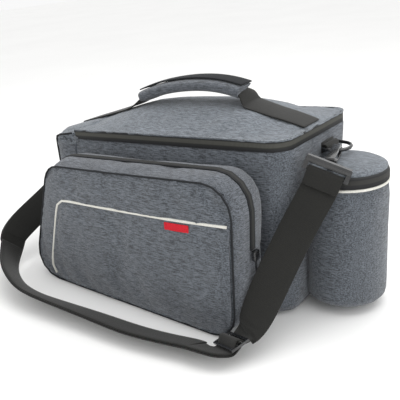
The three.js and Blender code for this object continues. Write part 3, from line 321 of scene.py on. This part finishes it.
# Lighter copy of the body cloth for the lid and the bottle lid: painted light from above on the top
# faces
CLOTH_PAINTED_TOP_LIGHT = heather("HeatherPaintedTopLight", "7d848c", "3b4147")
CLOTH_SIDE = heather("HeatherSide", "696e76", "272b2f")
OLIVE = webbing("OliveWebbing", "1d1d1b")
COIL = zip_cloth("CoilZip", "4a4a45", "2a2a28")
COIL_DARK = zip_cloth("CoilZipDark", "343432", "202021")
REFLECT = piping("ReflectivePiping")
GLOSS = plastic("GlossPlastic", "141517")
BINDING = woven("CharcoalBinding", "2f3134", "18191b")
RED = woven("RedTab", "dc2836", "a81724")
THREAD = woven("PaleThread", "a5a9ac", "7b7f83", 2400)


# Mesh tools
def alone(obj):
    """Selects one object and makes it active."""
    bpy.ops.object.select_all(action="DESELECT")
    bpy.context.view_layer.objects.active = obj
    obj.select_set(True)


def dressed(obj, cover, degrees):
    """One material, and smooth shading across edges flatter than the angle."""
    obj.data.materials.clear()
    obj.data.materials.append(cover)
    alone(obj)
    bpy.ops.object.shade_smooth_by_angle(angle=math.radians(degrees))
    obj.select_set(False)


def finish_piece(obj, cover, degrees):
    dressed(obj, cover, degrees)
    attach(obj, "root")


def tree_of(points):
    tree = kdtree.KDTree(len(points))
    for i, p in enumerate(points):
        tree.insert(p, i)
    tree.balance()
    return tree


def with_normals(obj):
    """Corners of a mesh with the normals they have before any of them moves."""
    return list(zip(obj.data.vertices, [v.normal.copy() for v in obj.data.vertices]))


def copied(name, node, keep=None, quads=True):
    """Own copy of a node's mesh, welded, with only the faces that "keep" names."""
    mesh = nodes[node].data.copy()
    mesh.name = name
    obj = bpy.data.objects.new(name, mesh)
    scene.collection.objects.link(obj)
    low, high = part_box(node)
    centre = (low + high) / 2
    bm = bmesh.new()
    bm.from_mesh(mesh)
    bmesh.ops.remove_doubles(bm, verts=bm.verts, dist=WELD)
    bm.normal_update()
    if keep:
        drop = [f for f in bm.faces
                if not keep(f.calc_center_median() - centre, f.normal)]
        bmesh.ops.delete(bm, geom=drop, context="FACES")
    if quads:
        bmesh.ops.join_triangles(bm, faces=bm.faces, angle_face_threshold=QUAD_FACE_ANGLE,
                                  angle_shape_threshold=QUAD_SHAPE_ANGLE)
    bm.to_mesh(mesh)
    bm.free()
    return obj


def outward(away, normal):
    return away.dot(normal) > 0


def apply_all(obj):
    alone(obj)
    for m in list(obj.modifiers):
        bpy.ops.object.modifier_apply(modifier=m.name)
    obj.select_set(False)


def smoothed(obj, levels=2, passes=12):
    """Finer mesh of the same size.

    Facets are eased; the open border and the part's own corners stay.
    """
    corners = [v.co.copy() for v in obj.data.vertices]
    m = obj.modifiers.new("Finer", "SUBSURF")
    m.subdivision_type = "SIMPLE"
    m.levels = m.render_levels = levels
    apply_all(obj)
    held = border(obj)
    inner = obj.vertex_groups.new(name="inner")
    inner.add([v.index for v in obj.data.vertices if v.index not in held], 1.0, "REPLACE")
    for factor in (EASE_OUT, EASE_BACK) * passes:
        m = obj.modifiers.new("Ease", "SMOOTH")
        m.factor = factor
        m.iterations = 1
        m.vertex_group = "inner"
    apply_all(obj)
    verts = obj.data.vertices
    for _ in range(2):
        tree = tree_of([v.co for v in verts[:len(corners)]])
        off = [p - verts[i].co for i, p in enumerate(corners)]
        shifts = []
        for v in verts:
            near = [(i, 1 / (d * d + 1e-7)) for _, i, d in tree.find_n(v.co, 4)]
            total = sum(w for _, w in near)
            shifts.append(sum((off[i] * (w / total) for i, w in near), Vector()))
        for v, shift in zip(verts, shifts):
            if v.index not in held:
                v.co += shift
    m = obj.modifiers.new("Ease", "SMOOTH")
    m.factor = EASE_OUT
    m.iterations = 2
    m.vertex_group = "inner"
    apply_all(obj)
    obj.vertex_groups.clear()


def border(obj):
    bm = bmesh.new()
    bm.from_mesh(obj.data)
    found = {v.index for e in bm.edges if e.is_boundary for v in e.verts}
    bm.free()
    return found


def loops(obj):
    """Ordered open borders of a mesh, each a list of points, the same in every run."""
    bm = bmesh.new()
    bm.from_mesh(obj.data)
    left = {e for e in bm.edges if e.is_boundary}
    out = []
    while left:
        e = min(left, key=lambda edge: edge.index)
        left.discard(e)
        first, at = e.verts[0], e.verts[1]
        run = [first.co.copy(), at.co.copy()]
        while at != first:
            step = next((k for k in at.link_edges if k in left), None)
            if step is None:
                break
            left.discard(step)
            at = step.other_vert(at)
            run.append(at.co.copy())
        out.append(run[:-1] if at == first else run)
    bm.free()
    return sorted(out, key=len, reverse=True)


SIMS = []


def billow(obj, pinned, pressure, cap, shrink=-0.012, bend=0.6):
    """Queues a padded skin for the cloth run; pinned points stay where they are."""
    pins = obj.vertex_groups.new(name="pins")
    pins.add(list(pinned), 1.0, "REPLACE")
    m = obj.modifiers.new("Cloth", "CLOTH")
    s = m.settings
    s.quality = 6
    s.mass = 0.35
    s.tension_stiffness = s.compression_stiffness = 18
    s.shear_stiffness = 6
    s.bending_stiffness = bend
    s.use_pressure = True
    s.uniform_pressure_force = pressure
    s.vertex_group_mass = "pins"
    s.effector_weights.gravity = 0
    s.shrink_min = shrink
    m.collision_settings.use_collision = False
    m.point_cache.frame_start = 1
    m.point_cache.frame_end = SIM_FRAMES
    SIMS.append((obj, cap))


def run_sims():
    """Steps the queued cloth together, then writes each result back with capped movement."""
    for f in range(1, SIM_FRAMES + 1):
        scene.frame_set(f)
    deps = bpy.context.evaluated_depsgraph_get()
    for obj, cap in SIMS:
        moved = [v.co.copy() for v in obj.evaluated_get(deps).data.vertices]
        obj.modifiers.remove(obj.modifiers["Cloth"])
        for v, to in zip(obj.data.vertices, moved):
            shift = to - v.co
            size = shift.length
            if size > 1e-9:
                v.co += shift * (cap * math.tanh(size / cap) / size)
        obj.vertex_groups.clear()
    scene.frame_set(1)


def seam_pull(obj, points, depth, reach, pitch, seed):
    """Draws the skin in along a seam, with short puckers running out from it."""
    tree = tree_of(points)
    run = 0.0
    lengths = []
    for i, p in enumerate(points):
        run += (p - points[i - 1]).length if i else 0.0
        lengths.append(run)
    for v, n in with_normals(obj):
        _, i, d = tree.find(v.co)
        if d > reach * 3:
            continue
        s = lengths[i] / pitch
        wave = 0.5 + 0.5 * math.sin(2 * math.pi * s + 3.0 * noise.noise(Vector((s * 0.4, seed, 0))))
        wave *= 0.5 + 0.5 * noise.noise(Vector((s * 0.9, seed + 7.0, 0)))
        fade = math.exp(-(d / reach) ** 2) * min(1.0, d / (reach * 0.25))
        v.co -= n * depth * fade * (0.3 + wave)


def fold(obj, a, b, width, depth):
    """Crease from a to b: a trough with a lip beside it, fading at both ends."""
    a, b = Vector(a), Vector(b)
    line = b - a
    size = line.length
    way = line / size
    for v, n in with_normals(obj):
        q = v.co - a
        s = q.dot(way)
        if s < -width or s > size + width:
            continue
        side = q - way * s
        side -= n * side.dot(n)
        d = side.length / width
        if d > 3:
            continue
        sign = 1 if side.dot(way.cross(n)) > 0 else -1
        u = min(max(s / size, 0), 1)
        ends = math.sin(math.pi * u) ** 0.6 if 0 < u < 1 else 0
        v.co -= n * depth * ends * (math.exp(-d * d) - 0.45 * math.exp(-(d - 1.2 * sign) ** 2))


def drift(obj, size, reach, seed):
    """Slow unevenness of hand-sewn cloth; the open border stays."""
    held = border(obj)
    for v, n in with_normals(obj):
        if v.index not in held:
            v.co += n * size * noise.noise(v.co / reach + Vector((seed, seed * 1.7, 0)))


def meet(obj, node, reach=0.014, stand=0.0002):
    """Lifts the skin along its normals until it lies under a cord."""
    cord = nodes[node]
    tree = tree_of([cord.matrix_world @ v.co for v in cord.data.vertices])
    held = border(obj)
    for v, n in with_normals(obj):
        at, _, d = tree.find(v.co)
        rise = (at - v.co).dot(n)
        if d > reach or rise <= stand or v.index in held:
            continue
        aside = max(d * d - rise * rise, 0.0)
        v.co += n * (rise - stand) * math.exp(-aside / (reach * 0.45) ** 2)


def thicken(obj):
    m = obj.modifiers.new("Wall", "SOLIDIFY")
    m.thickness = SKIN
    m.offset = -1
    apply_all(obj)


def tube(name, points, radius, cover):
    """Closed round cord through points, as a mesh."""
    curve = bpy.data.curves.new(name, "CURVE")
    curve.dimensions = "3D"
    spline = curve.splines.new("POLY")
    spline.points.add(len(points) - 1)
    for p, q in zip(spline.points, points):
        p.co = (*q, 1)
    spline.use_cyclic_u = True
    curve.bevel_depth = radius
    curve.bevel_resolution = 3
    curve.use_fill_caps = False
    obj = bpy.data.objects.new(name, curve)
    scene.collection.objects.link(obj)
    alone(obj)
    bpy.ops.object.convert(target="MESH")
    made = bpy.context.view_layer.objects.active
    made.name = name
    finish_piece(made, cover, 60)


def skirt(obj, points, lift):
    """Points of a seam moved up or down the skin, with the skin's normal at each."""
    out = []
    for p in points:
        _, at, normal, _ = obj.closest_point_on_mesh(p + Vector((0, 0, lift)))
        out.append((at.copy(), normal.copy()))
    return out


def stitches(name, line, pitch, size=0.00022):
    """Row of short threads lying on a line of (point, normal) pairs."""
    points = [at for at, _ in line]
    bm = bmesh.new()
    run = 0.0
    for i in range(1, len(points)):
        run += (points[i] - points[i - 1]).length
        if run < pitch:
            continue
        run = 0.0
        at, normal = line[i]
        way = (points[i] - points[i - 1]).normalized()
        aside = way.cross(normal).normalized()
        half = pitch * 0.34
        rows = []
        for s, r in ((-half, 0.3), (-half * 0.6, 1.0), (half * 0.6, 1.0), (half, 0.3)):
            c = at + way * s + normal * (size * 0.6)
            rows.append([bm.verts.new(c + aside * (size * r * math.cos(k * math.pi / 3))
                                      + normal * (size * r * math.sin(k * math.pi / 3)))
                         for k in range(6)])
        for a, b in zip(rows, rows[1:]):
            for k in range(6):
                bm.faces.new((a[k], b[k], b[(k + 1) % 6], a[(k + 1) % 6]))
        bm.faces.new(rows[0])
        bm.faces.new(rows[-1][::-1])
    bmesh.ops.recalc_face_normals(bm, faces=bm.faces)
    mesh = bpy.data.meshes.new(name)
    bm.to_mesh(mesh)
    bm.free()
    obj = bpy.data.objects.new(name, mesh)
    scene.collection.objects.link(obj)
    finish_piece(obj, THREAD, 60)


def evened(points, step):
    """Points at even steps round a closed line."""
    run = [*points, points[0]]
    total = sum((b - a).length for a, b in zip(run, run[1:]))
    count = max(2, round(total / step))
    out, i, walked = [], 0, 0.0
    for k in range(count):
        want = total * k / count
        while i < len(run) - 2 and walked + (run[i + 1] - run[i]).length < want:
            walked += (run[i + 1] - run[i]).length
            i += 1
        part = (run[i + 1] - run[i]).length
        out.append(run[i].lerp(run[i + 1], min(1.0, (want - walked) / part if part else 0)))
    return out


def banded(obj, height):
    """Stores how far across and along its band each corner of a zip lies.

    The value that height gives orders the corners across the band.
    """
    reach = [height(v.co) for v in obj.data.vertices]
    least, most = min(reach), max(reach)
    a = obj.data.attributes.new("across", "FLOAT", "POINT")
    s = obj.data.attributes.new("along", "FLOAT", "POINT")
    for v in obj.data.vertices:
        a.data[v.index].value = (reach[v.index] - least) / (most - least)
        s.data[v.index].value = v.co.x + v.co.y


# Body
body = copied("bag_body", "body_shell", outward)
smoothed(body)
foot = [v.index for v in body.data.vertices if v.co.z < FLOOR_EDGE]
billow(body, [*border(body), *foot], pressure=1.5, cap=0.0012)

# Lid
lid = copied("bag_lid", "lid_panel",
             lambda away, n: n.z > 0.3 or (abs(n.z) <= 0.3 and away.dot(n) > 0))
smoothed(lid)
billow(lid, border(lid), pressure=1.5, cap=0.0008)

# Side pocket
gusset = copied("side_pocket_wall", "pocket_gusset", outward)
smoothed(gusset)
foot = [v.index for v in gusset.data.vertices if v.co.z < FLOOR_EDGE]
billow(gusset, [*border(gusset), *foot], pressure=2.0, cap=0.0012)

panel = copied("side_pocket_face", "pocket_panel", lambda away, n: n.y < -0.3)
smoothed(panel)
billow(panel, border(panel), pressure=3.0, cap=0.003)

slip = copied("slip_pocket_face", "slip_pocket", lambda away, n: n.y < -0.3)
smoothed(slip)
billow(slip, border(slip), pressure=3.0, cap=0.0035)

# Bottle pocket
cup = copied("bottle_pocket_wall", "bottle_pocket", outward)
smoothed(cup)
foot = [v.index for v in cup.data.vertices if v.co.z < CUP_FLOOR_EDGE]
billow(cup, [*border(cup), *foot], pressure=2.0, cap=0.0025)

cup_lid = copied("bottle_pocket_lid", "bottle_lid", outward)
smoothed(cup_lid)

run_sims()

# Uneven cloth
for obj, size, reach, seed in (
    (body, 0.0005, 0.05, 1.0), (lid, 0.0003, 0.045, 2.0),
    (gusset, 0.0006, 0.03, 3.0), (panel, 0.0010, 0.05, 4.0),
    (slip, 0.0012, 0.045, 5.0), (cup, 0.0008, 0.035, 6.0),
):
    drift(obj, size, reach, seed)

# Puckers along the seams
body_edge = evened(loops(body)[0], EDGE_STEP)
lid_edge = evened(loops(lid)[0], EDGE_STEP)
panel_seam = evened(loops(panel)[0], SEAM_STEP)
slip_seam = evened(loops(slip)[0], SEAM_STEP)
front_seam, back_seam = sorted((evened(ring, SEAM_STEP) for ring in loops(gusset)[:2]),
                               key=lambda ring: ring[0].y)
cup_edge = evened(loops(cup)[0], SEAM_STEP)
for obj, line, depth, reach, pitch, seed in (
    (body, body_edge, 0.0004, 0.009, 0.017, 1.0), (lid, lid_edge, 0.0003, 0.010, 0.019, 2.0),
    (panel, panel_seam, 0.0012, 0.008, 0.016, 3.0), (slip, slip_seam, 0.0012, 0.009, 0.018, 4.0),
    (gusset, front_seam, 0.0009, 0.008, 0.015, 5.0), (gusset, back_seam, 0.0009, 0.008, 0.015, 6.0),
    (cup, cup_edge, 0.0010, 0.008, 0.014, 8.0),
):
    seam_pull(obj, line, depth, reach, pitch, seed)

for cord in ("nose_piping_near", "nose_piping_far"):
    meet(body, cord)
    meet(lid, cord)
meet(panel, "reflective_piping", 0.01)
meet(slip, "reflective_piping", 0.01)

# Soft creases and dents
for obj, start, end, width, depth in (
    (panel, (-0.125, -0.146, 0.148), (-0.085, -0.147, 0.156), 0.006, 0.0012),
    (panel, (-0.02, -0.148, 0.150), (0.045, -0.148, 0.156), 0.007, 0.0010),
    (panel, (0.125, -0.146, 0.150), (0.150, -0.146, 0.120), 0.006, 0.0011),
    (slip, (-0.10, -0.150, 0.035), (-0.055, -0.150, 0.085), 0.009, 0.0012),
    (slip, (0.09, -0.150, 0.045), (0.145, -0.150, 0.075), 0.009, 0.0012),
    (body, (0.06, -0.080, 0.150), (0.165, -0.081, 0.172), 0.008, 0.0011),
    (body, (0.188, -0.05, 0.06), (0.188, -0.045, 0.13), 0.008, 0.0012),
    (cup, (0.262, -0.018, 0.105), (0.264, 0.005, 0.122), 0.008, 0.0014),
    (cup, (0.225, -0.046, 0.085), (0.245, -0.040, 0.105), 0.009, 0.0014),
    (lid, (-0.14, -0.045, 0.19), (-0.09, -0.05, 0.20), 0.010, 0.0011),
    (lid, (0.02, -0.055, 0.212), (0.10, -0.05, 0.214), 0.011, 0.0010),
):
    fold(obj, start, end, width, depth)

PIECES = (
    (body, "body_shell", CLOTH), (lid, "lid_panel", CLOTH_PAINTED_TOP_LIGHT),
    (gusset, "pocket_gusset", CLOTH_SIDE), (panel, "pocket_panel", CLOTH),
    (slip, "slip_pocket", CLOTH), (cup, "bottle_pocket", CLOTH),
    (cup_lid, "bottle_lid", CLOTH_PAINTED_TOP_LIGHT),
)
for obj, node, cover in PIECES:
    for v in obj.data.vertices:
        v.co.z = max(v.co.z, 0.0)
    thicken(obj)
    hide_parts(node)
    finish_piece(obj, cover, 50)

# Cord along the pocket panel seam: it fills the seam, and its charcoal colour is the painted shadow
# line of the folded seam
tube("side_pocket_seam_painted_shadow", panel_seam, SEAM_CORD, BINDING)
tube("side_pocket_back_seam", back_seam, BACK_SEAM_CORD, BINDING)
stitches("lid_stitches", skirt(lid, lid_edge, STITCH_ABOVE), STITCH)
stitches("body_stitches", skirt(body, body_edge, STITCH_BELOW), STITCH)
stitches("bottle_stitches", skirt(cup, cup_edge, STITCH_BELOW), CUP_STITCH)

# Zips
main_zip = copied("main_zip_band", "main_zip")
banded(main_zip, lambda p: p.z - zip_line(p.x))
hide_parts("main_zip")
finish_piece(main_zip, COIL, 35)

pocket_zip = copied("pocket_zip_band", "pocket_zip")
banded(pocket_zip, lambda p: p.y)
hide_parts("pocket_zip")
finish_piece(pocket_zip, COIL_DARK, 35)

cup_zip = copied("bottle_zip_band", "bottle_zip", quads=False)
banded(cup_zip, lambda p: p.z)
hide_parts("bottle_zip")
finish_piece(cup_zip, COIL_DARK, 35)

# Straps and handle
for name, node, cover, slot in (
    ("shoulder_strap_web", "shoulder_strap", OLIVE, "olive_webbing"),
    ("strap_return_web", "strap_return", OLIVE, "olive_webbing"),
    ("handle_web", "handle_webbing", OLIVE, "olive_webbing"),
    ("grip_cover", "grip_sleeve", CLOTH_SIDE, "heather_cloth"),
    ("grip_top", "grip_flap", BINDING, "dark_trim"),
):
    obj = copied(name, node)
    m = obj.modifiers.new("Edge", "BEVEL")
    m.width = 0.0004
    m.segments = 1
    m.angle_limit = math.radians(50)
    m.limit_method = "ANGLE"
    m = obj.modifiers.new("Smooth", "SUBSURF")
    m.levels = m.render_levels = 1
    apply_all(obj)
    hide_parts(node)
    finish_piece(obj, cover, 50)

# Carried-over nodes
for node, cover, slot, edge in (
    ("nose_piping_near", BINDING, "dark_trim", 0), ("nose_piping_far", BINDING, "dark_trim", 0),
    ("reflective_piping", REFLECT, "pale_piping", 0), ("bottle_piping", REFLECT, "pale_piping", 0),
    ("red_tab", RED, "red_cloth", 0.3), ("pocket_zip_slider", GLOSS, "black_plastic", 0.8),
    ("pocket_zip_pull", BINDING, "dark_trim", 0.2), ("strap_adjuster", GLOSS, "black_plastic", 0.6),
    ("tail_d_ring", GLOSS, "black_plastic", 0), ("nose_d_ring", GLOSS, "black_plastic", 0),
    ("tail_ring_tab", OLIVE, "olive_webbing", 0.4), ("nose_ring_tab", OLIVE, "olive_webbing", 0.4),
    ("tail_snap_hook", GLOSS, "black_plastic", 0.8),
    ("nose_snap_hook", GLOSS, "black_plastic", 0.8),
    ("tail_strap_loop", GLOSS, "black_plastic", 0.8),
    ("nose_strap_loop", GLOSS, "black_plastic", 0.8),
):
    obj = nodes[node]
    m = obj.modifiers.new("Weld", "WELD")
    m.merge_threshold = WELD
    if edge:
        m = obj.modifiers.new("Edge", "BEVEL")
        m.width = edge * MM
        m.segments = 3
        m.limit_method = "ANGLE"
        m.angle_limit = math.radians(35)
        m.use_clamp_overlap = True
    dressed(obj, cover, 60)

# Floor
bpy.ops.object.select_all(action="DESELECT")
bpy.ops.mesh.primitive_plane_add(size=12, location=(0, 0, -0.0004))
floor = bpy.context.object
floor.name = "floor"
ground, t, surface = material("PaleFloor", 0.9, shade("fbfbfa"))
grain = t.ramp(t.noise((3, 3, 3), 2.0), [(0.3, shade("fafaf9")), (0.7, shade("fdfdfc"))])
t.put(surface.inputs["Base Color"], grain)
floor.data.materials.append(ground)

# Light
world = bpy.data.worlds.new("Studio")
scene.world = world
world.use_nodes = True
sky = world.node_tree.nodes["Background"]
sky.inputs["Color"].default_value = (1, 1, 1, 1)
sky.inputs["Strength"].default_value = WORLD_LIGHT


def lamp(name, power, size, at, towards):
    light = bpy.data.lights.new(name, "AREA")
    light.shape = "DISK"
    light.size = size
    light.energy = power
    obj = bpy.data.objects.new(name, light)
    scene.collection.objects.link(obj)
    obj.location = at
    obj.rotation_euler = (Vector(at) - Vector(towards)).to_track_quat("Z", "Y").to_euler()


lamp("key", KEY_POWER, 1.4, (0.35, 0.25, 1.25), (0, 0, 0.1))
lamp("fill", FILL_POWER, 1.2, (-0.6, -1.3, 0.7), (0, 0, 0.1))
lamp("side", RIM_POWER, 1.0, (1.5, -0.2, 0.7), (0.1, 0, 0.1))
scene.view_settings.view_transform = "Standard"

# Camera
a, e, r = (math.radians(v) for v in (CAM_AZIMUTH, CAM_ELEVATION, CAM_ROLL))
back = Vector((math.sin(a) * math.cos(e), -math.cos(a) * math.cos(e), math.sin(e)))
right = Vector((0, 0, 1)).cross(back).normalized()
up = back.cross(right)
right, up = right * math.cos(r) + up * math.sin(r), up * math.cos(r) - right * math.sin(r)
camera = bpy.data.cameras.new("camera")
camera.lens = CAM_LENS
camera.sensor_width = 36
eye = bpy.data.objects.new("camera", camera)
scene.collection.objects.link(eye)
turned = Matrix((right, up, back)).transposed().to_4x4()
eye.matrix_world = Matrix.Translation(CAM_TARGET + back * CAM_DISTANCE) @ turned
scene.camera = eye
